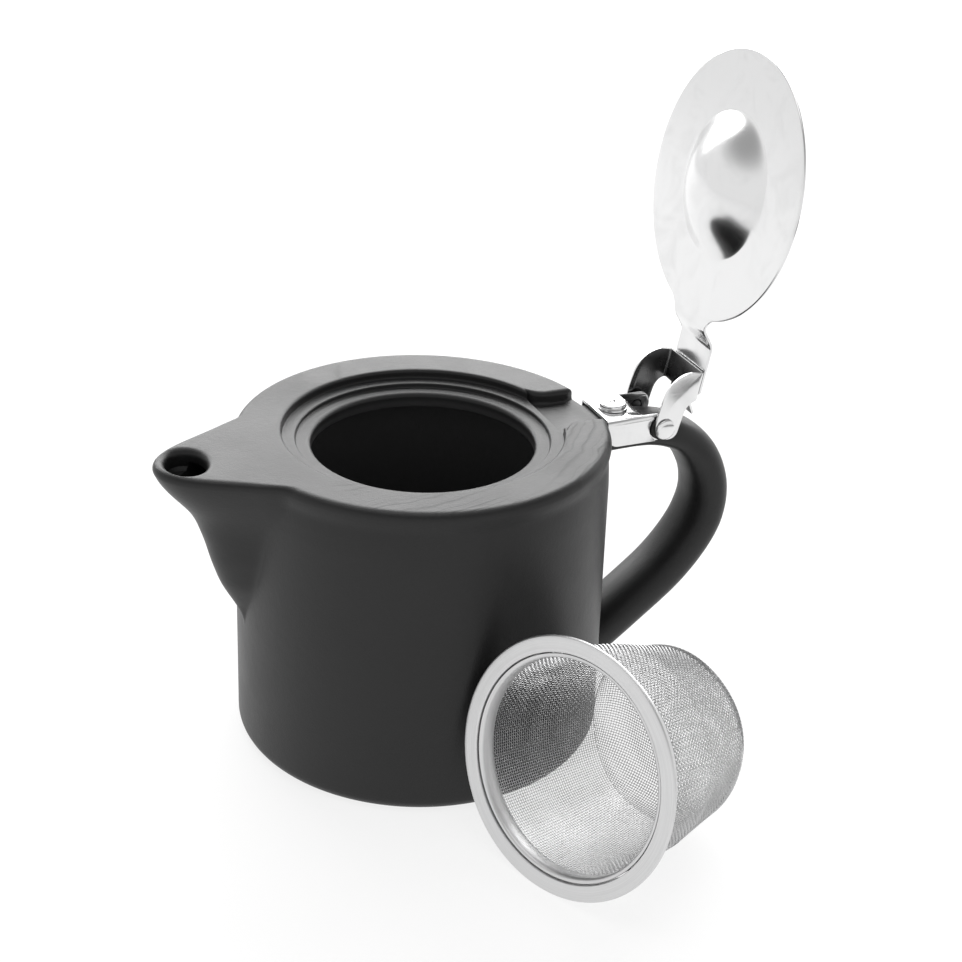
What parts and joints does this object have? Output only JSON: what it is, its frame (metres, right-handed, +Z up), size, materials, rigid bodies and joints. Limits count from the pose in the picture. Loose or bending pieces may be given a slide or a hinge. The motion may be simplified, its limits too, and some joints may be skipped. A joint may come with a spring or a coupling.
{
  "type": "teapot with infuser",
  "caption": "Straight-sided stoneware teapot with a short spout, loop handle, hinged steel lid and a lift-out woven-mesh infuser basket lying beside it.",
  "frame": {"origin": "on the pot's own vertical axis, at the level of the table it stands on", "axes": "+Z up, +X from the pot's axis towards the handle and lid hinge, the spout along -X"},
  "size_m": [0.1735, 0.1703, 0.1895],
  "materials": {
    "matte_stoneware": "matte charcoal glaze",
    "polished_steel": "mirror polished",
    "brushed_steel": "satin",
    "woven_steel": "fine woven wire",
    "dark_fibre": "matte",
    "anchor_brass": "turned"
  },
  "bodies": {
    "pot": {"pot_body": "matte_stoneware", "pot_spout": "matte_stoneware", "pot_handle": "matte_stoneware", "hinge_bracket": "polished_steel", "screw_anchor": "anchor_brass", "screw_washer": "polished_steel", "bracket_screw": "polished_steel", "pivot_washer_near": "dark_fibre", "pivot_washer_far": "dark_fibre", "pivot_rivet_near": "polished_steel", "pivot_rivet_far": "polished_steel"},
    "lid": {"lid_plate": "polished_steel", "lid_yoke": "polished_steel"},
    "infuser": {"infuser_rim": "brushed_steel", "infuser_collar": "brushed_steel", "infuser_mesh": "woven_steel"}
  },
  "joints": [
    {"name": "lid_hinge", "type": "hinge", "parent": "pot", "child": "lid", "pos_m": [0.0706, 0, 0.0844], "axis": [0, 1, 0], "range_deg": [-100.5, 0]},
    {"name": "infuser_lift", "type": "slide", "parent": "pot", "child": "infuser", "axis": [0, 0, 1], "range_m": [0, 0.12]}
  ]
}
